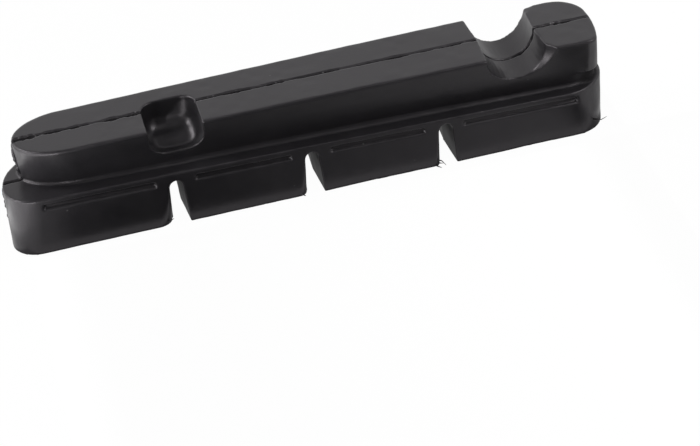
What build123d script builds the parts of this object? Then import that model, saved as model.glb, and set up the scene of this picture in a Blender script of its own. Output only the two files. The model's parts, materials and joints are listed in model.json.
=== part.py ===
from build123d import *
import math
import os

os.makedirs("parts", exist_ok=True)

# Replaceable insert of a rim brake shoe, moulded from one rubber compound.
# X runs along the rim, Y across the brake track, Z from the friction face to the back.
# Sizes are worked in the mould's frame, whose parting plane is y = 0.

# Friction block: a straight edge, a crest that follows the rim and a nose at each end
pad_length = 55.0
straight_edge_y = 3.83
crest_y = 5.92
crest_x = 0.5
rim_edge_radius = 168.0
block_height_pocket_end = 5.62
block_height_notch_end = 4.44
face_tip_y_pocket_end = -1.4
face_tip_y_notch_end = -0.9
ledge_tip_y_pocket_end = -0.9
ledge_tip_y_notch_end = 0.5
end_flare_pocket_end = 0.15
face_inset_notch_end = 0.5

# Water slots between the four blocks
slot_pitch = 12.17
slot_centre_x = -0.36
slot_mouth = 1.72
slot_root = 1.43
slot_depth = 4.37
slot_depth_step = 0.14
slot_draft_straight_side = 4.2
slot_draft_curved_side = 2.5
corner_rounds = (1.2, 0.7, 0.5)
corner_round_end = 0.15
corner_round_height = 3.6

# Wear-line grooves under the ledge
groove_height = 0.5
groove_depth = 0.3
groove_drop = 0.8
groove_from_slot = 0.9
groove_from_tip = 3.3

# Dovetail rail that slides into the shoe
rail_height = 4.72
rail_from_pocket_tip = 1.76
rail_from_notch_tip = 0.68
rail_straight_y_pocket_end = 3.53
rail_straight_y_notch_end = 4.12
rail_curved_y_pocket_end = 3.4
rail_curved_y_notch_end = 4.08
rail_tip_y = -0.1
rail_nose_straight = 4.5
rail_nose_curved = 4.5
foot_tip_y = 1.6
foot_nose_straight = 6.5
foot_nose_curved = 4.0
rail_end_y = 0.4
rail_end_bulge = 0.65
rail_corner_straight = 1.0
rail_corner_curved = 3.0
foot_corner_straight = 1.6
foot_corner_curved = 2.5
end_flat = 0.3
undercut_straight_side = 17.0
undercut_curved_side = 10.0
undercut_pocket_end = 0.3
draft_notch_end = 3.2
foot_round = 0.27
back_edge_round = 0.22

# Notch for the retaining pin, with a crescent lead-in on the straight side
notch_x = 18.95
notch_radius = 2.58
notch_sink = 0.13
notch_draft = 0.2
notch_rise_angle = 4.7
lead_in_run = 1.24
lead_in_shift_x = 0.53
lead_in_shift_z = 0.02
lead_in_growth = 0.49
lead_in_start = 0.14

# Core pocket in the side of the rail
pocket_x = -11.79
pocket_width = 4.83
pocket_past_centre = 1.3
pocket_depth = 2.76
pocket_corner = 1.4
pocket_floor_round = 1.25

# Room that cutters take beyond the faces they open
cut_room = 1.0

half_length = pad_length / 2
pad_width = straight_edge_y + crest_y
block_height = (block_height_pocket_end + block_height_notch_end) / 2
ledge_slope = (block_height_notch_end - block_height_pocket_end) / pad_length
ledge_tilt = math.degrees(math.atan(ledge_slope))
back_z = block_height + rail_height
foot_level = min(block_height_pocket_end, block_height_notch_end) - foot_round
hub = Vector(crest_x, crest_y - rim_edge_radius)
diagonal = math.sqrt(0.5)
quarter_round = 4 / 3 * math.tan(math.pi / 8)


def ledge_z(x):
    return block_height + ledge_slope * x


def between(start, end, share):
    return start + (end - start) * share


def nose(side, tip):
    """Arcs of one end, from the straight edge round the tip to the crest; side is -1 or 1."""
    corner = straight_edge_y + tip.Y
    foot = Vector(tip.X - side * corner, -straight_edge_y)
    bend = Vector(tip.X - side * corner * (1 - diagonal), tip.Y - corner * diagonal)
    reach = side * (tip.X - crest_x)
    rise = tip.Y - hub.Y
    radius = (rim_edge_radius**2 - reach**2 - rise**2) / (2 * (rim_edge_radius - reach))
    centre = Vector(tip.X - side * radius, tip.Y)
    join = hub + (centre - hub).normalized() * rim_edge_radius
    middle = centre + (tip + join - centre * 2).normalized() * radius
    return foot, join, [ThreePointArc(foot, bend, tip), ThreePointArc(tip, middle, join)]


def block_outline(level):
    """Plan of the block at a height: the ends lean and their tips wander across towards the ledge."""
    share_p = level / block_height_pocket_end
    share_n = level / block_height_notch_end
    tip_p = Vector(
        between(-half_length, -half_length + end_flare_pocket_end, share_p),
        between(face_tip_y_pocket_end, ledge_tip_y_pocket_end, share_p),
    )
    tip_n = Vector(
        between(half_length - face_inset_notch_end, half_length, share_n),
        between(face_tip_y_notch_end, ledge_tip_y_notch_end, share_n),
    )
    foot_p, join_p, arcs_p = nose(-1, tip_p)
    foot_n, join_n, arcs_n = nose(1, tip_n)
    crest = ThreePointArc(join_n, (crest_x, crest_y), join_p)
    return Pos(0, 0, level) * make_face([Line(foot_p, foot_n), *arcs_n, crest, *arcs_p])


def drawn_in(level, angle):
    """How far a wall that leans by an angle lies inside the back face's outline at a height."""
    return (back_z - level) * math.tan(math.radians(angle))


def fitted(first, second, width):
    """Two rounds that share one end of the rail, eased where its width is short of their sum."""
    ease = min(1, (width - end_flat) / (first + second))
    return first * ease, second * ease


def rail_nose(tip, side, reach):
    """Quarter oval from the tip to a point on a long side; reach is its run along that side."""
    rise = Vector(0, side.Y - tip.Y)
    return Bezier(tip, tip + rise * quarter_round, side - reach * quarter_round, side)


def rail_outline(level):
    """Plan of the rail at a height: the sides draw in towards the ledge and the round end turns askew."""
    left = -half_length + rail_from_pocket_tip + drawn_in(level, undercut_pocket_end)
    right = half_length - rail_from_notch_tip + drawn_in(level, draft_notch_end)
    straight_in = drawn_in(level, undercut_straight_side)
    curved_in = drawn_in(level, undercut_curved_side)
    share = (back_z - level) / (back_z - foot_level)
    nose_straight = between(rail_nose_straight, foot_nose_straight, share)
    nose_curved = between(rail_nose_curved, foot_nose_curved, share)
    tip = Vector(left, between(rail_tip_y, foot_tip_y, share))
    straight_p = Vector(left + nose_straight, straight_in - rail_straight_y_pocket_end)
    curved_p = Vector(left + nose_curved, rail_curved_y_pocket_end - curved_in)
    straight_n = Vector(right - rail_end_bulge, straight_in - rail_straight_y_notch_end)
    curved_n = Vector(right - rail_end_bulge, rail_curved_y_notch_end - curved_in)
    outline = make_face([
        rail_nose(tip, straight_p, (straight_n - straight_p).normalized() * nose_straight),
        Line(straight_p, straight_n),
        ThreePointArc(straight_n, (right, rail_end_y), curved_n),
        Line(curved_n, curved_p),
        rail_nose(tip, curved_p, (curved_n - curved_p).normalized() * nose_curved),
    ])
    corner_straight = between(rail_corner_straight, foot_corner_straight, share)
    corner_curved = between(rail_corner_curved, foot_corner_curved, share)
    rounds = fitted(corner_straight, corner_curved, curved_n.Y - straight_n.Y)
    for corner, radius in zip((straight_n, curved_n), rounds):
        outline = fillet(outline.vertices().sort_by_distance(corner)[0], radius)
    return Pos(0, 0, level) * outline


# Block: ruled between the friction face and a plan above it, then trimmed by the sloping ledge.
block_top = max(block_height_pocket_end, block_height_notch_end) + cut_room
block = loft([block_outline(0), block_outline(block_top)], ruled=True)
trimmer = Box(2 * pad_length, 4 * pad_width, 2 * rail_height, align=(Align.CENTER, Align.CENTER, Align.MIN))
block -= Location((0, 0, block_height), (0, -ledge_tilt, 0)) * trimmer

# Wear-line grooves: one per block on every side wall, parallel to the ledge.
slot_xs = [slot_centre_x + i * slot_pitch for i in (-1, 0, 1)]
starts = [-half_length + groove_from_tip] + [x + slot_mouth / 2 + groove_from_slot for x in slot_xs]
ends = [x - slot_mouth / 2 - groove_from_slot for x in slot_xs] + [half_length - groove_from_tip]
core_plan = offset(Pos(0, 0, groove_drop - block_height) * block_outline(block_height - groove_drop),
                   -groove_depth, kind=Kind.INTERSECTION)
skin = block - extrude(core_plan, block_top)
for start, end in zip(starts, ends):
    middle = (start + end) / 2
    bar = Box(end - start, 4 * pad_width, groove_height)
    block -= Location((middle, 0, ledge_z(middle) - groove_drop), (0, -ledge_tilt, 0)) * bar & skin


def corner_cut(x, y, side, radius):
    """Room outside a rounded corner at (x, y); side is -1 on the straight edge and 1 on the crest."""
    inner = y - side * radius
    outer = y + side * cut_room
    past = x + slot_mouth / 4
    bend = (x - radius * (1 - diagonal), y - side * radius * (1 - diagonal))
    corners = [(x - radius, y), (x - radius, outer), (past, outer), (past, inner), (x, inner)]
    edges = [Line(a, b) for a, b in zip(corners, corners[1:])]
    return make_face([*edges, ThreePointArc((x, inner), bend, (x - radius, y))])


def slot_spread(y):
    """How much wider a slot is on each side at y than at the straight edge: both halves have draft."""
    angle = slot_draft_curved_side if y > 0 else slot_draft_straight_side
    at_parting = -straight_edge_y * math.tan(math.radians(slot_draft_straight_side))
    return at_parting + abs(y) * math.tan(math.radians(angle))


def slot_section(x, y, root_z):
    """Section of a slot at y: a tapered mouth that opens below the friction face, and a round root."""
    mouth = slot_mouth / 2 + slot_spread(y)
    root = slot_root / 2 + slot_spread(y)
    left = [(x - root, root_z), (x - mouth, 0), (x - mouth, -cut_room)]
    right = [(2 * x - px, pz) for px, pz in reversed(left)]
    walls = left + right
    edges = [Line(a, b) for a, b in zip(walls, walls[1:])]
    edges.append(ThreePointArc(walls[-1], (x, root_z + root), walls[0]))
    return Pos(0, y, 0) * (Plane.XZ * make_face(edges))


# Water slots: tapered mouths with round roots, shallower towards the notch, narrowest at the parting plane.
# The block corners on the trailing side of each slot are rounded, most at the friction face.
for i, (x, radius) in enumerate(zip(slot_xs, corner_rounds)):
    root_z = slot_depth + slot_depth_step * (1 - i) - slot_root / 2
    for end_y in (-straight_edge_y - cut_room, crest_y + cut_room):
        block -= loft([slot_section(x, 0, root_z), slot_section(x, end_y, root_z)], ruled=True)
    curved_y = hub.Y + math.sqrt(rim_edge_radius**2 - (x - slot_mouth / 2 - crest_x) ** 2)
    for side, y in ((-1, -straight_edge_y), (1, curved_y)):
        low_x = x - slot_mouth / 2 - slot_spread(y)
        high_x = low_x + (slot_mouth - slot_root) / 2 * corner_round_height / root_z
        low = corner_cut(low_x, y, side, radius)
        high = Pos(0, 0, corner_round_height) * corner_cut(high_x, y, side, corner_round_end)
        block -= loft([low, high], ruled=True)

# Dovetail rail, rounded along its back edge and at its foot.
rail = loft([rail_outline(foot_level), rail_outline(back_z)], ruled=True)
rail = fillet(rail.faces().sort_by(Axis.Z)[-1].edges(), back_edge_round)
pad = block + rail
upward = [f for f in pad.faces() if f.normal_at().Z > 0.99]
ledge_face = [f for f in upward if abs(f.center().Z - block_height) < rail_height / 2]
foot_edges = [e for f in ledge_face for w in f.inner_wires() for e in w.edges()]
pad = fillet(foot_edges, foot_round)

# Pin notch: a half-round channel with draft from the parting plane; its curved-side half climbs outwards.
notch_z = back_z - notch_sink
notch_run = pad_width / 2


def notch_radius_at(depth):
    return notch_radius + notch_draft * depth / straight_edge_y


def notch_circle(y, radius, rise):
    return Pos(notch_x, y, notch_z + rise) * (Plane.XZ * Circle(radius))


for side, rise in ((-1, 0), (1, notch_run * math.tan(math.radians(notch_rise_angle)))):
    outer = notch_circle(side * notch_run, notch_radius_at(notch_run), rise)
    pad -= loft([notch_circle(0, notch_radius, 0), outer], ruled=True)

# Lead-in: an oblique cone that leaves a crescent on the notch's outer side.
lead_in_end = between(rail_straight_y_pocket_end, rail_straight_y_notch_end, 0.5 + notch_x / pad_length)
lead_in_radius = notch_radius_at(lead_in_end - lead_in_run) - lead_in_start
reach = 1 + cut_room / lead_in_run
small = notch_circle(lead_in_run - lead_in_end, lead_in_radius, 0)
large = Pos(lead_in_shift_x * reach, 0, 0) * notch_circle(
    -cut_room - lead_in_end, lead_in_radius + lead_in_growth * reach, lead_in_shift_z * reach)
pad -= loft([small, large], ruled=True)

# Core pocket: open to the back and to the straight side, soft in its corners.
pocket_run = pocket_past_centre + straight_edge_y + cut_room
pocket = Box(pocket_width, pocket_run, pocket_depth + cut_room, align=(Align.CENTER, Align.MAX, Align.MIN))
pocket = fillet(pocket.edges().filter_by(Axis.Z).group_by(Axis.Y)[-1], pocket_corner)
pocket = fillet(pocket.faces().sort_by(Axis.Z)[0].edges(), pocket_floor_round)
pad -= Pos(pocket_x, pocket_past_centre, back_z - pocket_depth) * pocket

# Library frame: centred in plan, friction face on z = 0.
parting_y = -pad.bounding_box().center().Y
pad = Pos(0, parting_y, 0) * pad
solid = pad.solids()[0]
solid.label = "brake_pad"
export_step(solid, "parts/brake_pad.step")

box = solid.bounding_box()
print("solids", len(pad.solids()), "volume mm3", round(solid.volume, 1), "valid", solid.is_valid)
print("box", [round(v, 3) for v in (*box.min, *box.max)], "parting plane y", round(parting_y, 3))
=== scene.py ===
import json
import math

import bmesh
import bpy
import numpy as np
from mathutils import Matrix, Vector
from mathutils.bvhtree import BVHTree


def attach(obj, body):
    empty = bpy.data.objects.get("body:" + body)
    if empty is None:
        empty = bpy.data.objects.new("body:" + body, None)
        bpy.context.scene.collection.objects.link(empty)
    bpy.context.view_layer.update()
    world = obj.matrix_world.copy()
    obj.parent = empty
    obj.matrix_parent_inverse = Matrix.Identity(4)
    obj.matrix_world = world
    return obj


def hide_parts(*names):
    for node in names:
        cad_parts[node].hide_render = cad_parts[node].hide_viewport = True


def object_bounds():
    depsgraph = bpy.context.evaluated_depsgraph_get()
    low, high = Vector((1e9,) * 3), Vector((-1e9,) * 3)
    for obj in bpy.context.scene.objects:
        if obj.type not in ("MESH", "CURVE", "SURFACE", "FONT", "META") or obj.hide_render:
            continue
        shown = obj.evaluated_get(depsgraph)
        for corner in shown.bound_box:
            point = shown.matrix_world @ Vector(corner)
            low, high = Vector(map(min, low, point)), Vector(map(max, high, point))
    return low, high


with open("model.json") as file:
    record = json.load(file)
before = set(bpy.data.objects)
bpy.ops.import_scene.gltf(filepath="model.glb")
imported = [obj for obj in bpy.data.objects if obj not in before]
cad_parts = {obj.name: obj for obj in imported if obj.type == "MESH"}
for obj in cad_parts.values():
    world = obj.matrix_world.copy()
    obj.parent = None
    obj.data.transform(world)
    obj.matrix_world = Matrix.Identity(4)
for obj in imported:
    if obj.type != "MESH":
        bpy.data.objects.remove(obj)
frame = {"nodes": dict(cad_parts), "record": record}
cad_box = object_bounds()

# Lengths are millimetres unless a name says otherwise; the scene itself is in metres.
MM = 0.001
PAD = frame["nodes"]["brake_pad"]
MOUNTS = {mount["name"]: Vector(mount["pos_m"]) / MM for mount in frame["record"]["mounts"]}
LOW, HIGH = (Vector(corner) / MM for corner in cad_box)

# The mould's parting plane runs along the rail, and the ledge slopes from the round end to the notch end.
SEAM_Y = MOUNTS["rail"].y
BACK_Z = HIGH.z
LEDGE_Z_LEFT = 5.62
LEDGE_Z_RIGHT = 4.44

# Fineness of the visual mesh
VOXEL = 0.1
WELD = 0.0005
TRIANGLES = 195000

# Fixed noise: factors that scatter the cells, then the width of one swell and a seed for each use
LATTICE_STEPS = (374761393, 668265263, 2147483647)
LATTICE_SEED_STEP = 974711
LATTICE_SCATTER = 1274126177
WAVE_NOISE = (5.0, 1)
GRAIN_NOISE = (0.9, 2)
WANDER_NOISE = (1.6, 3)
WIDTH_NOISE = (0.8, 4)
DEPTH_NOISE = (1.5, 5)
FINE_DEPTH_NOISE = (0.5, 6)
FURROW_NOISE = (0.3, 8)
PATCH_NOISE = (0.9, 9)
FINE_WANDER_NOISE = (0.35, 10)
TEAR_NOISE = (0.3, 11)
FIN_NOISE = (0.8, 21)
FINE_FIN_NOISE = (0.25, 22)

# Eased edges: all of the moulding above the cut face, in a few steps
SOFTEN_STEPS = 4
SOFTEN_FROM_Z = 0.15
SOFTEN_FULL_Z = 0.6

# Relief of the moulding: waves, grain, back halves that fall away from the seam, and a bowed rail
WAVE_DEPTH = 0.03
GRAIN_DEPTH = 0.012
HALF_DRAFT = math.radians(0.3)
BACK_BAND = 0.5
RAIL_BOW = 0.17
RAIL_BOW_HALF_RUN = 26.0
RAIL_FOOT = 0.5

# Relief is held to the solid's box, with this much room past it
BOX_ROOM = (0.2, 0.1, 0)

# Cut friction face: short torn furrows
CUT_DEPTH = 0.07
CUT_STRETCH = (0.6, 1.2, 1)
CUT_FULL_Z = 0.3
CUT_END_Z = 0.5

# Core pocket: its floor is dished, deepest part of the way in from the open side, and then eased
POCKET_X = -11.79
POCKET_WIDTH = 4.83
POCKET_FAR_Y = SEAM_Y + 1.3
POCKET_DEPTH = 2.76
POCKET_DIP = 0.6
POCKET_DIP_PLACE = 0.47
POCKET_DIP_SPREAD = 0.17
POCKET_EASE = 30
POCKET_EASE_CENTRE = (POCKET_X, SEAM_Y - 1.6, BACK_Z - 2.6)
POCKET_EASE_RADIUS = 2.2

# Water slots: the middle of each, and how far its two walls stand off the drawing
SLOT_TRIMS = ((-12.53, 0.07, -0.12), (-0.36, 0.09, -0.06), (11.81, 0.18, 0.05))
SLOT_REACH = 1.0
SLOT_REACH_END = 1.7
SLOT_TOP_GAP = 0.3

# Places that are eased more: centre, radius, steps
SOFT_SPOTS = (
    ((21.5, SEAM_Y + 4.0, BACK_Z), 1.3, 40),
    ((POCKET_X, SEAM_Y - 1.0, BACK_Z - 2.0), 2.3, 150),
    ((POCKET_X + 1.6, SEAM_Y + 0.7, BACK_Z - 2.3), 2.0, 220),
)

# Torn seam: a thin line that wanders about the parting plane, with wider tears (x, half length, half width)
SEAM_DEPTH = 0.28
SEAM_LEAST_SHARE = 0.35
SEAM_HALF_WIDTH = 0.115
SEAM_WANDER = 0.07
SEAM_RUN_PER_HEIGHT = 1.7
SEAM_END_ROOM = 3.5
SEAM_EDGE_ROOM = 0.25
SEAM_FAR_WIDTHS = 9
SEAM_TEARS = (
    (-24.7, 1.1, 0.26),
    (-22.1, 0.7, 0.2),
    (-20.1, 0.5, 0.16),
    (-16.9, 0.7, 0.19),
    (-14.9, 0.6, 0.18),
    (-5.8, 1.0, 0.17),
    (-2.2, 0.9, 0.15),
    (2.5, 0.7, 0.14),
    (9.0, 0.9, 0.15),
    (14.2, 0.7, 0.15),
    (24.2, 0.9, 0.16),
)

# Band about the seam that keeps all its triangles
SEAM_ROOM = 0.6
SEAM_ROOM_BELOW = 0.2

# Torn crevice at the foot of the rail's notch end: carved in, and darkened in the material with painted shade
CREVICE_X = 23.8
CREVICE_RUN = 2.2
CREVICE_HEIGHT = 1.5
CREVICE_FOOT = 0.25
CREVICE_TOP = 0.4
CREVICE_DEPTH = 0.35

# Fins on the parting plane: name, end, lowest and highest z, how far they stand proud
FINS = (
    ("fin_rail_round_end", -1, 6.2, 9.5, 0.3),
    ("fin_block_round_end", -1, 0.3, 5.3, 0.24),
    ("fin_block_notch_end", 1, 1.5, 4.3, 0.14),
)
FIN_STEP = 0.09
FIN_LEAST_STEPS = 8
FIN_FADE_STEPS = 3
FIN_LEAST_SHARE = 0.12
FIN_ROOT = 0.1
FIN_HALF_ROOT = 0.05
FIN_HALF_EDGE = FIN_HALF_ROOT / 3
FIN_SEARCH_X = 40

# Threads torn loose at the cut edges of the straight side: name, route from the root to the tip, radius.
# A route's points are x, how far they lie inwards of the wall, and z.
WALL_Y = LOW.y + 0.2
THREADS = (
    ("thread_a", ((11.0, 0, 0.62), (11.22, -0.15, 0.6), (11.52, -0.4, 0.22)), 0.075),
    ("thread_b", ((10.95, 0, 0.35), (11.15, -0.15, 0.36), (11.3, -0.3, 0.42)), 0.065),
    ("thread_c", ((10.75, 0, 0.1), (10.92, -0.25, 0.09), (11.1, -0.45, 0.075)), 0.075),
    ("thread_d", ((25.7, 0.6, 0.95), (26.3, 0.05, 1.08), (26.77, 0, 1.32)), 0.07),
    ("thread_e", ((-1.75, 0.1, 0.3), (-1.5, -0.05, 0.12), (-1.36, -0.1, 0.06)), 0.08),
    ("thread_f", ((-14.0, 0.3, 0.3), (-13.6, 0.1, 0.45), (-13.28, 0, 0.7)), 0.09),
)
THREAD_SIDES = 6
THREAD_TAPER = 0.75
THREAD_REFERENCE = (0.3, 0.2, 1)

# Rubber: linear colours, roughness, and texture scales that count swells or cells to the metre
SKIN_DARK = (0.0105, 0.01, 0.0112, 1)
SKIN_PALE = (0.016, 0.0151, 0.0168, 1)
DUST = (0.12, 0.115, 0.12, 1)
# Painted shade in the seam's groove and in the crevice
SEAM_AND_CREVICE_SHADE = (0.004, 0.0038, 0.0042, 1)
# Pale specks along the seam
SEAM_SPECK = (0.13, 0.125, 0.13, 1)
CUT_GROUND = (0.026, 0.0255, 0.031, 1)
# Pale streaks on the cut face: painted glints of its torn bits
CUT_GLINT = (0.12, 0.118, 0.125, 1)
SKIN_GLOSSY = 0.28
SKIN_DULL = 0.38
SPECULAR = 0.345
SPECULAR_TINT = (1, 0.94, 0.99, 1)
BLOOM_SCALE = 420
CUT_GLINT_SCALE = 2600
CUT_GLINT_STRETCH = (1, 2.4, 1)
GRAIN_SCALE = 6000
GRAIN_STRENGTH = 0.15
GRAIN_HEIGHT_M = 0.00003
# Specks: scale, where a speck is full and where it ends in its cell, and which cells have none and a full one
DUST_SPECKS = (900, 0.03, 0.1, 0.9, 1.0)
SEAM_SPECK_CELLS = (2600, 0.1, 0.3, 0.55, 0.9)

# Camera at the photograph's viewing angle
PHOTO_WIDTH = 700
PHOTO_HEIGHT = 446
CAMERA_PLACE = (-25.194, SEAM_Y - 167.823, 114.439)
CAMERA_FORWARD = (0.12352, 0.81993, -0.55897)
CAMERA_ROLL = math.radians(7.68)
FOCAL_PX = 2263.4
CENTRE_PX = (312.1, 169.2)
SENSOR_WIDTH = 36
CLIP_START_M = 0.01

# Staging: white floor and surroundings as they are seen, and how much light they give
FLOOR_WIDTH = 2000
FLOOR_GREY = 0.8
FLOOR_GLOW = 0.97
WORLD_LIGHT = 0.16

# Cards that the rubber mirrors: sizes, places, and how bright each is towards the round end and the notch end
CARD_X = 1.2
CARD_WIDTH = 54.4
CARD_DEPTH = 90.0
CARD_HEIGHT = 160.0
CARD_GAP = 1
CARD_LIFT = 0.05
UNDER_CARD_LIFT = 0.03
FRONT_CARD_WIDTH = CARD_WIDTH * 1.6
SIDE_CARD = 48.0
SIDE_CARD_NEAR_Y = -5
CEILING_WIDTH = 240.0
CEILING_DEPTH = 170.0
CEILING_FAR_Y = 70.0
CARD_LEVELS = {
    "floor_card": (0.0, 0.65),
    "side_card": (0.62, 0.62),
    "front_card": (0.02, 0.02),
    "under_card": (0.28, 0.28),
    "ceiling_card": (0.0, 0.0),
}
CARD_DARK_X = -12.0
CARD_PALE_X = 20.0

# The floor card also fades out at the notch end and glows at the round end.
CARD_FADE_X = 23.0
CARD_END_X = 26.0
CARD_GLOW = 0.9
CARD_GLOW_X = -26.0
CARD_GLOW_END_X = -21.5

# Lamps: name, place, the point they face, width, watts
LAMPS = (
    ("left_box", (-170, 30, 100), (0, 0, 5), 190, 0.26),
    ("left_high", (-120, 30, 135), (-10, 0, 8), 60, 0.1),
    ("left_low", (-190, -36, 30), (0, 0, 5), 60, 0.12),
    ("left_bounce", (-51, -19, 0.15), (-51, -19, 100), 42, 0.0095),
    ("front_bounce", (-50, -40, 1), (-50, -40, 100), 44, 0.05),
    ("front_low", (-46, -94, 24), (-10, 0, 8), 18, 0.011),
    ("front_high", (30, -70, 260), (0, 0, 3), 100, 0.19),
    ("right_high", (110, -40, 130), (25, 0, 3), 60, 0.1),
    ("right_near", (85, -70, 50), (25, 0, 3), 40, 0.015),
)


def lattice(cells, seed):
    """A fixed number from 0 to 1 for every whole-number cell."""
    code = (cells * np.array(LATTICE_STEPS)).sum(axis=-1) + seed * LATTICE_SEED_STEP
    code = (code ^ (code >> 13)) * LATTICE_SCATTER
    code = code ^ (code >> 16)
    return (code & 0xFFFF) / 0xFFFF


def value_noise(points, size, seed):
    """Smooth noise from -1 to 1 at points in millimetres; size is the width of one swell."""
    scaled = np.asarray(points, dtype=np.float64) / size
    cell = np.floor(scaled).astype(np.int64)
    part = scaled - cell
    part = part * part * (3 - 2 * part)
    total = np.zeros(len(scaled))
    for corner in np.ndindex(2, 2, 2):
        weight = np.prod(np.where(np.array(corner) == 1, part, 1 - part), axis=1)
        total += weight * lattice(cell + np.array(corner), seed)
    return total * 2 - 1


def line_noise(along, size, seed):
    """Noise along one line, from -1 to 1."""
    points = np.stack([along, np.full_like(along, 0.5), np.full_like(along, 0.5)], axis=1)
    return value_noise(points, size, seed)


def smooth_step(low, high, value):
    """0 at low, 1 at high and eased between; low may be the larger of the two."""
    share = np.clip((value - low) / (high - low), 0, 1)
    return share * share * (3 - 2 * share)


def near(points, centre, radius):
    """1 about a centre, falling to 0 at a radius."""
    return smooth_step(radius, radius * 0.6, np.linalg.norm(points - np.array(centre), axis=1))


def ledge_height(x):
    share = (x - LOW.x) / (HIGH.x - LOW.x)
    return LEDGE_Z_LEFT + (LEDGE_Z_RIGHT - LEDGE_Z_LEFT) * share


def link(name, data):
    item = bpy.data.objects.new(name, data)
    bpy.context.scene.collection.objects.link(item)
    return item


def evaluated_mesh(item):
    """The item's mesh with its modifiers worked in."""
    graph = bpy.context.evaluated_depsgraph_get()
    return bpy.data.meshes.new_from_object(
        item.evaluated_get(graph), preserve_all_data_layers=True, depsgraph=graph)


def even_mesh():
    """The pad's surface as an even, fine mesh in millimetres that lies on the modelled faces."""
    exact = PAD.data.copy()
    exact.transform(Matrix.Scale(1 / MM, 4))
    welded = bmesh.new()
    welded.from_mesh(exact)
    bmesh.ops.remove_doubles(welded, verts=welded.verts, dist=WELD)
    welded.to_mesh(exact)
    welded.free()
    target = link("target", exact)
    draft = link("draft", exact.copy())
    remesh = draft.modifiers.new("even", "REMESH")
    remesh.mode = "VOXEL"
    remesh.voxel_size = VOXEL
    wrap = draft.modifiers.new("lie", "SHRINKWRAP")
    wrap.target = target
    wrap.wrap_method = "NEAREST_SURFACEPOINT"
    mesh = evaluated_mesh(draft)
    bpy.data.objects.remove(draft)
    bpy.data.objects.remove(target)
    return mesh


def read_points(mesh):
    points = np.empty(len(mesh.vertices) * 3)
    mesh.vertices.foreach_get("co", points)
    return points.reshape(-1, 3)


def read_normals(mesh):
    normals = np.empty(len(mesh.vertices) * 3, dtype=np.float32)
    mesh.vertex_normals.foreach_get("vector", normals)
    return normals.reshape(-1, 3).astype(np.float64)


def write_points(mesh, points):
    mesh.vertices.foreach_set("co", points.ravel())
    mesh.update()


def soften(mesh, steps, freedom):
    """Ease sharp edges: each point moves towards the middle of its neighbours, as far as its freedom (0 to 1)
    lets it."""
    ends = np.empty(len(mesh.edges) * 2, dtype=np.int32)
    mesh.edges.foreach_get("vertices", ends)
    ends = ends.reshape(-1, 2)
    points = read_points(mesh)
    ends = ends[(freedom[ends] > 0).any(axis=1)]
    used, ends = np.unique(ends, return_inverse=True)
    first, second = ends.reshape(-1, 2).T
    part = points[used]
    count = len(used)
    degree = np.bincount(first, minlength=count) + np.bincount(second, minlength=count)
    share = (freedom[used] / 2)[:, None]
    for _ in range(steps):
        middle = np.empty_like(part)
        for axis in range(3):
            column = part[:, axis]
            total = np.bincount(first, column[second], count)
            middle[:, axis] = total + np.bincount(second, column[first], count)
        part = part + (middle / degree[:, None] - part) * share
    points[used] = part
    write_points(mesh, points)


def seam_line(points, normals):
    """The torn seam on the rail, in the notch and on the ledge: each point's distance from the line, counted
    in the line's half widths, and how deep it is torn there, from 0 to 1."""
    x, y, z = points.T
    # Steep walls measure the seam's run by height.
    run = x + z * SEAM_RUN_PER_HEIGHT
    wander = line_noise(run, *WANDER_NOISE) * SEAM_WANDER
    wander = wander + line_noise(run, *FINE_WANDER_NOISE) * 0.4 * SEAM_WANDER
    half_width = SEAM_HALF_WIDTH * (1 + 0.5 * line_noise(run, *WIDTH_NOISE))
    uneven = line_noise(run, *DEPTH_NOISE) + 0.5 * line_noise(run, *FINE_DEPTH_NOISE)
    depth = SEAM_LEAST_SHARE + (1 - SEAM_LEAST_SHARE) * smooth_step(-0.5, 0.3, uneven)
    on_back = smooth_step(BACK_Z - 0.6, BACK_Z - 0.3, z)
    for middle, half_length, tear_width in SEAM_TEARS:
        inside = on_back * smooth_step(half_length * 1.25, half_length * 0.7, np.abs(x - middle))
        ragged = tear_width * (1 + 0.45 * line_noise(run, *TEAR_NOISE))
        half_width = half_width + inside * np.maximum(ragged - half_width, 0)
        depth = np.maximum(depth, inside)
    on_end = (np.abs(normals[:, 0]) > 0.8) & (np.abs(x) > HIGH.x - SEAM_END_ROOM)
    in_pocket = (np.abs(x - POCKET_X) < POCKET_WIDTH / 2) & (z < BACK_Z - SEAM_EDGE_ROOM)
    torn_run = (z > ledge_height(x) - SEAM_EDGE_ROOM) & ~on_end & ~in_pocket
    offset = np.clip((y - SEAM_Y - wander) / half_width, -SEAM_FAR_WIDTHS, SEAM_FAR_WIDTHS)
    return offset, np.where(torn_run, depth, 0)


def crevice_share(points):
    """1 in the crevice at the foot of the rail's notch end, 0 clear of it."""
    x, y, z = points.T
    height = z - ledge_height(x)
    band = smooth_step(0, CREVICE_FOOT, height)
    band = band * smooth_step(CREVICE_HEIGHT, CREVICE_HEIGHT - CREVICE_TOP, height)
    return band * smooth_step(CREVICE_X, CREVICE_X + CREVICE_RUN, x)


def cut_share(points, normals):
    """1 on the cut friction face, 0 on the moulded skin."""
    return smooth_step(0.6, 0.9, -normals[:, 2]) * smooth_step(CUT_END_Z, CUT_FULL_Z, points[:, 2])


def skin_marks(points, normals):
    """What the relief and the material need to know of each point, by name."""
    offset, depth = seam_line(points, normals)
    return {
        "seam_offset": offset,
        "seam_depth": depth,
        "crevice": crevice_share(points),
        "cut": cut_share(points, normals),
    }


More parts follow.
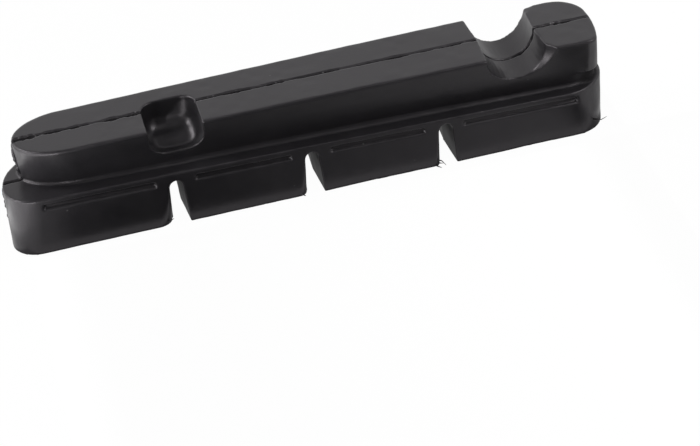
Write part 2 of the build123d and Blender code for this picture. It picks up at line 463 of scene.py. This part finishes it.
def relief(points, marks):
    """How far each point moves along its normal: waves, the seam's tear, the crevice and the cut face."""
    skin = value_noise(points, *WAVE_NOISE) * WAVE_DEPTH + value_noise(points, *GRAIN_NOISE) * GRAIN_DEPTH
    skin = skin - SEAM_DEPTH * marks["seam_depth"] * np.exp(-(marks["seam_offset"] ** 4))
    skin = skin - CREVICE_DEPTH * marks["crevice"]
    # The furrows of the cut face only go inwards.
    torn = value_noise(points * np.array(CUT_STRETCH), *FURROW_NOISE)
    torn = torn + value_noise(points, *PATCH_NOISE) * 0.5
    return skin * (1 - marks["cut"]) - marks["cut"] * CUT_DEPTH * np.clip(torn + 0.3, 0, 1)


def pocket_dish(points, normals):
    """How far the pocket's floor moves down or up at each point."""
    x, y, z = points.T
    across = np.abs(x - POCKET_X) / (POCKET_WIDTH / 2)
    inward = (y - LOW.y) / (POCKET_FAR_Y - LOW.y)
    floor = smooth_step(0.1, 0.5, normals[:, 2]) * smooth_step(-0.9, -1.5, z - BACK_Z) * (inward < 1.1)
    floor = floor * (z > BACK_Z - POCKET_DEPTH - 0.3) * np.clip(1 - across**4, 0, 1)
    return -POCKET_DIP * floor * np.exp(-(((inward - POCKET_DIP_PLACE) / POCKET_DIP_SPREAD) ** 2))


def moulded_mesh():
    """The whole rubber moulding in millimetres, with its relief worked in and its marks as attributes."""
    mesh = even_mesh()
    points = read_points(mesh)
    soften(mesh, SOFTEN_STEPS, smooth_step(SOFTEN_FROM_Z, SOFTEN_FULL_Z, points[:, 2]))
    for centre, radius, steps in SOFT_SPOTS:
        soften(mesh, steps, near(points, centre, radius))
    points = read_points(mesh)
    normals = read_normals(mesh)
    x, y, z = points.T
    marks = skin_marks(points, normals)
    for name, values in marks.items():
        mesh.attributes.new(name, "FLOAT", "POINT").data.foreach_set("value", values)
    moved = points + normals * relief(points, marks)[:, None]
    on_back = smooth_step(0.6, 0.95, normals[:, 2]) * (z > BACK_Z - BACK_BAND)
    moved[:, 2] -= on_back * np.abs(y - SEAM_Y) * math.tan(HALF_DRAFT)
    moved[:, 2] += pocket_dish(points, normals)
    for middle, left_wall, right_wall in SLOT_TRIMS:
        reach = smooth_step(SLOT_REACH_END, SLOT_REACH, np.abs(x - middle))
        reach = reach * (z < ledge_height(x) - SLOT_TOP_GAP)
        moved[:, 0] += reach * np.where(x < middle, left_wall, right_wall)
    # The rail bends a little towards the curved edge.
    on_rail = smooth_step(0, RAIL_FOOT, z - ledge_height(x))
    moved[:, 1] += RAIL_BOW * on_rail * np.clip(1 - (x / RAIL_BOW_HALF_RUN) ** 2, 0, 1)
    moved = np.clip(moved, np.array(LOW) - np.array(BOX_ROOM), np.array(HIGH) + np.array(BOX_ROOM))
    write_points(mesh, moved)
    soften(mesh, POCKET_EASE, near(moved, POCKET_EASE_CENTRE, POCKET_EASE_RADIUS))
    return mesh


def thinned(mesh, triangles):
    """The mesh with fewer triangles where it is flat and clear of the seam."""
    item = link("thick", mesh)
    mesh.calc_loop_triangles()
    x, y, z = read_points(mesh).T
    near_seam = (np.abs(y - SEAM_Y) < SEAM_ROOM) & (z > ledge_height(x) - SEAM_ROOM_BELOW)
    kept = item.vertex_groups.new(name="kept")
    kept.add(np.flatnonzero(near_seam).tolist(), 1, "REPLACE")
    decimate = item.modifiers.new("thin", "DECIMATE")
    decimate.ratio = min(1, triangles / len(mesh.loop_triangles))
    decimate.vertex_group = "kept"
    decimate.invert_vertex_group = True
    # Large flat faces keep their own shading up to the eased edges.
    mesh.shade_smooth()
    shading = item.modifiers.new("shade", "WEIGHTED_NORMAL")
    shading.mode = "FACE_AREA"
    thin = evaluated_mesh(item)
    bpy.data.objects.remove(item)
    return thin


def plug(tree, socket, value):
    """Set a socket to a value, or link it to another node's output socket."""
    if isinstance(value, bpy.types.NodeSocket):
        tree.links.new(value, socket)
    else:
        socket.default_value = value


def node(tree, kind, **inputs):
    """A shader node with its sockets set by name."""
    made = tree.nodes.new(kind)
    for name, value in inputs.items():
        plug(tree, made.inputs[name.replace("_", " ")], value)
    return made


def worked_out(tree, operation, *terms, clamped=False):
    """The result of a sum, product or other operation on one or two terms."""
    made = tree.nodes.new("ShaderNodeMath")
    made.operation = operation
    made.use_clamp = clamped
    for socket, term in zip(made.inputs, terms):
        plug(tree, socket, term)
    return made.outputs[0]


def mixed(tree, share, first, second):
    """A colour between two colours."""
    mix = tree.nodes.new("ShaderNodeMix")
    mix.data_type = "RGBA"
    # The node has sockets for several kinds of data; these are the share and the colours.
    for index, value in ((0, share), (6, first), (7, second)):
        plug(tree, mix.inputs[index], value)
    return mix.outputs[2]


def mixed_shader(tree, share, first, second):
    """A shader between two shaders."""
    mix = tree.nodes.new("ShaderNodeMixShader")
    for socket, source in zip(mix.inputs, (share, first, second)):
        tree.links.new(source, socket)
    return mix.outputs["Shader"]


def ramp(tree, value, start, low, end, high):
    """A straight run from low at start to high at end, level outside."""
    made = node(
        tree, "ShaderNodeMapRange", Value=value, From_Min=start, From_Max=end, To_Min=low, To_Max=high)
    return made.outputs["Result"]


def attribute(tree, name):
    made = tree.nodes.new("ShaderNodeAttribute")
    made.attribute_name = name
    return made.outputs["Fac"]


def noise(tree, place, scale, **settings):
    return node(tree, "ShaderNodeTexNoise", Vector=place, Scale=scale, **settings).outputs["Fac"]


def specks(tree, place, scale, full, end, none_below, all_above):
    """Round specks in some of the cells of a fine pattern: 1 in a speck, 0 clear of it."""
    cells = node(tree, "ShaderNodeTexVoronoi", Vector=place, Scale=scale)
    spot = ramp(tree, cells.outputs["Distance"], full, 1.0, end, 0.0)
    chance = node(tree, "ShaderNodeSeparateColor", Color=cells.outputs["Color"]).outputs[0]
    return worked_out(tree, "MULTIPLY", spot, ramp(tree, chance, none_below, 0.0, all_above, 1.0))


def rubber_material():
    material = bpy.data.materials.new("moulded_rubber")
    material.use_nodes = True
    tree = material.node_tree
    shader = tree.nodes["Principled BSDF"]
    shader.inputs["Specular IOR Level"].default_value = SPECULAR
    shader.inputs["Specular Tint"].default_value = SPECULAR_TINT
    place = tree.nodes.new("ShaderNodeTexCoord").outputs["Object"]
    # Moulded skin: faint clouds of bloom, and pale dust specks
    clouds = noise(tree, place, BLOOM_SCALE, Detail=5, Roughness=0.6)
    skin = mixed(tree, clouds, SKIN_DARK, SKIN_PALE)
    skin = mixed(tree, specks(tree, place, *DUST_SPECKS), skin, DUST)
    # Torn seam and crevice: dull, and darkened with painted shade; pale specks along the seam
    far_off = worked_out(tree, "ABSOLUTE", attribute(tree, "seam_offset"))
    seam_depth = attribute(tree, "seam_depth")
    torn = worked_out(tree, "MULTIPLY", ramp(tree, far_off, 0.8, 1.0, 1.1, 0.0), seam_depth)
    torn = worked_out(tree, "MAXIMUM", torn, attribute(tree, "crevice"))
    # Painted shade: the seam's groove and the crevice are darkened
    skin = mixed(tree, torn, skin, SEAM_AND_CREVICE_SHADE)
    along_seam = worked_out(tree, "MULTIPLY", ramp(tree, far_off, 1.0, 1.0, 3.0, 0.0), seam_depth)
    seam_specks = worked_out(tree, "MULTIPLY", specks(tree, place, *SEAM_SPECK_CELLS), along_seam)
    skin = mixed(tree, seam_specks, skin, SEAM_SPECK)
    # Cut friction face: greyer, with pale painted glints of its torn bits, streaked along the cut
    stretched = node(tree, "ShaderNodeMapping", Vector=place, Scale=CUT_GLINT_STRETCH).outputs["Vector"]
    cut_glints = noise(tree, stretched, CUT_GLINT_SCALE, Detail=2)
    face = mixed(tree, ramp(tree, cut_glints, 0.6, 0.0, 0.74, 1.0), CUT_GROUND, CUT_GLINT)
    plug(tree, shader.inputs["Base Color"], mixed(tree, attribute(tree, "cut"), skin, face))
    gloss = ramp(tree, clouds, 0.3, SKIN_GLOSSY, 0.7, SKIN_DULL)
    plug(tree, shader.inputs["Roughness"], worked_out(tree, "ADD", gloss, torn, clamped=True))
    grain = noise(tree, place, GRAIN_SCALE, Detail=3)
    bump = node(tree, "ShaderNodeBump", Height=grain, Strength=GRAIN_STRENGTH, Distance=GRAIN_HEIGHT_M)
    plug(tree, shader.inputs["Normal"], bump.outputs["Normal"])
    return material


def make_pad():
    mesh = thinned(moulded_mesh(), TRIANGLES)
    points = read_points(mesh)
    points[:, 2] = np.maximum(points[:, 2], LOW.z)
    write_points(mesh, points)
    mesh.transform(Matrix.Scale(MM, 4))
    mesh.materials.clear()
    mesh.materials.append(rubber_material())
    pad = link("pad_rubber", mesh)
    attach(pad, "root")
    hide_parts("brake_pad")
    make_flash(mesh, mesh.materials[0])


def tube_mesh(name, rings):
    """A closed mesh through rings of points in millimetres; each ring holds the same number of points."""
    sides = len(rings[0])
    points = [point * MM for ring in rings for point in ring]
    faces = []
    for low in range(0, len(points) - sides, sides):
        for k in range(sides):
            after = (k + 1) % sides
            faces.append((low + k, low + after, low + sides + after, low + sides + k))
    faces.append(tuple(reversed(range(sides))))
    faces.append(tuple(range(len(points) - sides, len(points))))
    mesh = bpy.data.meshes.new(name)
    mesh.from_pydata(points, [], faces)
    return mesh


def skin_x(tree, z, side):
    """Where the pad's skin is met on the parting plane at a height, from the end on that side."""
    start = Vector((side * FIN_SEARCH_X, SEAM_Y, z))
    hit = tree.ray_cast(start, Vector((-side, 0, 0)))
    return hit[0].x


def fin_rings(tree, side, low, high, proud):
    """Rings of a thin ragged fin that stands on the pad's skin from a low to a high place."""
    thick = Vector((0, FIN_HALF_ROOT, 0))
    thin = Vector((0, FIN_HALF_EDGE, 0))
    steps = max(FIN_LEAST_STEPS, round((high - low) / FIN_STEP))
    heights = np.linspace(low, high, steps)
    ragged = 0.55 + 0.45 * line_noise(heights, *FIN_NOISE) + 0.3 * line_noise(heights, *FINE_FIN_NOISE)
    rings = []
    for k, (z, share) in enumerate(zip(heights, ragged)):
        fade = min(1, min(k, steps - 1 - k) / FIN_FADE_STEPS)
        reach = FIN_ROOT + proud * max(FIN_LEAST_SHARE, share) * fade
        root = Vector((skin_x(tree, z, side) - side * FIN_ROOT, SEAM_Y, z))
        edge = root + Vector((side * reach, 0, 0))
        rings.append((root + thick, edge + thin, edge - thin, root - thick))
    return rings


def thread_rings(route, radius):
    """Rings of a tapered thread of rubber along a route of points."""
    route = [Vector((x, WALL_Y + inward, z)) for x, inward, z in route]
    last = len(route) - 1
    turns = [2 * math.pi * k / THREAD_SIDES for k in range(THREAD_SIDES)]
    rings = []
    for i, place in enumerate(route):
        run = (route[min(i + 1, last)] - route[max(i - 1, 0)]).normalized()
        across = run.cross(Vector(THREAD_REFERENCE)).normalized()
        over = run.cross(across)
        size = radius * (1 - THREAD_TAPER * i / last)
        rings.append([place + (across * math.cos(turn) + over * math.sin(turn)) * size for turn in turns])
    return rings


def add_flash(mesh, material):
    mesh.materials.append(material)
    mesh.shade_smooth()
    piece = link(mesh.name, mesh)
    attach(piece, "root")


def make_flash(pad_mesh, material):
    """Flash left by the mould: ragged fins at the ends of the parting plane, and threads on the cut edges."""
    tree = BVHTree.FromPolygons(
        [vertex.co / MM for vertex in pad_mesh.vertices], [face.vertices for face in pad_mesh.polygons])
    for name, *fin in FINS:
        add_flash(tube_mesh(name, fin_rings(tree, *fin)), material)
    for name, *thread in THREADS:
        add_flash(tube_mesh(name, thread_rings(*thread)), material)


def make_camera():
    """A camera at the photograph's viewing angle; the shift keeps the photograph's framing."""
    place = Vector(CAMERA_PLACE) * MM
    forward = Vector(CAMERA_FORWARD).normalized()
    level = forward.cross(Vector((0, 0, 1))).normalized()
    right = Matrix.Rotation(CAMERA_ROLL, 3, forward) @ level
    up = right.cross(forward)
    data = bpy.data.cameras.new("camera")
    data.sensor_width = SENSOR_WIDTH
    data.lens = FOCAL_PX / PHOTO_WIDTH * data.sensor_width
    data.shift_x = 0.5 - CENTRE_PX[0] / PHOTO_WIDTH
    data.shift_y = (CENTRE_PX[1] - PHOTO_HEIGHT / 2) / PHOTO_WIDTH
    data.clip_start = CLIP_START_M
    camera = link("camera", data)
    turn = Matrix((right, up, -forward)).transposed()
    camera.matrix_world = Matrix.Translation(place) @ turn.to_4x4()
    bpy.context.scene.camera = camera


def seen_white(tree):
    """A factor that is 1 for rays that should see the white surroundings: camera, glossy and transmission."""
    path = tree.nodes.new("ShaderNodeLightPath")
    either = worked_out(tree, "MAXIMUM", path.outputs["Is Camera Ray"], path.outputs["Is Glossy Ray"])
    return worked_out(tree, "MAXIMUM", either, path.outputs["Is Transmission Ray"])


def plane(name, width, depth, centre):
    x, y, z = centre
    corners = [(x + a * width / 2, y + b * depth / 2, z) for a, b in ((-1, -1), (1, -1), (1, 1), (-1, 1))]
    mesh = bpy.data.meshes.new(name)
    mesh.from_pydata([Vector(corner) * MM for corner in corners], [], [(0, 1, 2, 3)])
    return link(name, mesh)


def make_floor():
    floor = plane("floor", FLOOR_WIDTH, FLOOR_WIDTH, (0, 0, 0))
    material = bpy.data.materials.new("floor")
    material.use_nodes = True
    tree = material.node_tree
    surface = tree.nodes["Principled BSDF"]
    surface.inputs["Base Color"].default_value = (FLOOR_GREY, FLOOR_GREY, FLOOR_GREY, 1)
    surface.inputs["Roughness"].default_value = 1
    surface.inputs["Specular IOR Level"].default_value = 0
    glow = node(tree, "ShaderNodeEmission", Color=(1, 1, 1, 1), Strength=1)
    share = worked_out(tree, "MULTIPLY", seen_white(tree), FLOOR_GLOW)
    shown = mixed_shader(tree, share, surface.outputs["BSDF"], glow.outputs["Emission"])
    plug(tree, tree.nodes["Material Output"].inputs["Surface"], shown)
    floor.data.materials.append(material)


def card_level(tree, name):
    """How bright a card is along X, from its level at the round end to its level at the notch end."""
    place = tree.nodes.new("ShaderNodeTexCoord").outputs["Object"]
    along = node(tree, "ShaderNodeSeparateXYZ", Vector=place).outputs["X"]
    dark, pale = CARD_LEVELS[name]
    level = ramp(tree, along, CARD_DARK_X * MM, dark, CARD_PALE_X * MM, pale)
    if name == "floor_card":
        fade = ramp(tree, along, CARD_FADE_X * MM, 1, CARD_END_X * MM, 0)
        glow = ramp(tree, along, CARD_GLOW_X * MM, CARD_GLOW, CARD_GLOW_END_X * MM, 0)
        level = worked_out(tree, "ADD", worked_out(tree, "MULTIPLY", level, fade), glow)
    return level


def card_material(name):
    material = bpy.data.materials.new(name)
    material.use_nodes = True
    tree = material.node_tree
    glow = node(tree, "ShaderNodeEmission", Color=(1, 1, 1, 1), Strength=card_level(tree, name))
    plug(tree, tree.nodes["Material Output"].inputs["Surface"], glow.outputs["Emission"])
    return material


def make_cards():
    """Cards that the rubber mirrors: on the floor in front and beside it, upright, beneath and above."""
    flat = plane("floor_card", CARD_WIDTH, CARD_DEPTH, (CARD_X, LOW.y - CARD_DEPTH / 2 - CARD_GAP, CARD_LIFT))
    side_centre = (HIGH.x + SIDE_CARD / 2 + CARD_GAP, SIDE_CARD / 2 + SIDE_CARD_NEAR_Y, CARD_LIFT)
    beside = plane("side_card", SIDE_CARD, SIDE_CARD, side_centre)
    upright = plane("front_card", FRONT_CARD_WIDTH, CARD_HEIGHT, (0, 0, 0))
    upright.matrix_world = (
        Matrix.Translation(Vector((CARD_X, LOW.y - CARD_DEPTH, CARD_HEIGHT / 2)) * MM)
        @ Matrix.Rotation(math.radians(90), 4, "X"))
    beneath = plane("under_card", HIGH.x - LOW.x, HIGH.y - LOW.y, (0, 0, UNDER_CARD_LIFT))
    ceiling_centre = (0, CEILING_FAR_Y - CEILING_DEPTH / 2, CARD_HEIGHT)
    above = plane("ceiling_card", CEILING_WIDTH, CEILING_DEPTH, ceiling_centre)
    for card in (flat, beside, beneath, upright, above):
        card.data.materials.append(card_material(card.name))
        card.visible_camera = False
        card.visible_shadow = False


def make_world():
    world = bpy.data.worlds.new("studio")
    world.use_nodes = True
    tree = world.node_tree
    white = tree.nodes["Background"]
    white.inputs["Color"].default_value = (1, 1, 1, 1)
    dim = node(tree, "ShaderNodeBackground", Color=(1, 1, 1, 1), Strength=WORLD_LIGHT)
    shown = mixed_shader(tree, seen_white(tree), dim.outputs["Background"], white.outputs["Background"])
    plug(tree, tree.nodes["World Output"].inputs["Surface"], shown)
    bpy.context.scene.world = world


def area_lamp(name, place, target, size, watts):
    data = bpy.data.lights.new(name, "AREA")
    data.size = size * MM
    data.energy = watts
    lamp = link(name, data)
    place = Vector(place) * MM
    aim = Vector(target) * MM - place
    lamp.matrix_world = Matrix.Translation(place) @ aim.to_track_quat("-Z", "Y").to_matrix().to_4x4()


make_pad()
make_camera()
make_floor()
make_cards()
make_world()
for lamp in LAMPS:
    area_lamp(*lamp)
bpy.context.scene.view_settings.view_transform = "Standard"
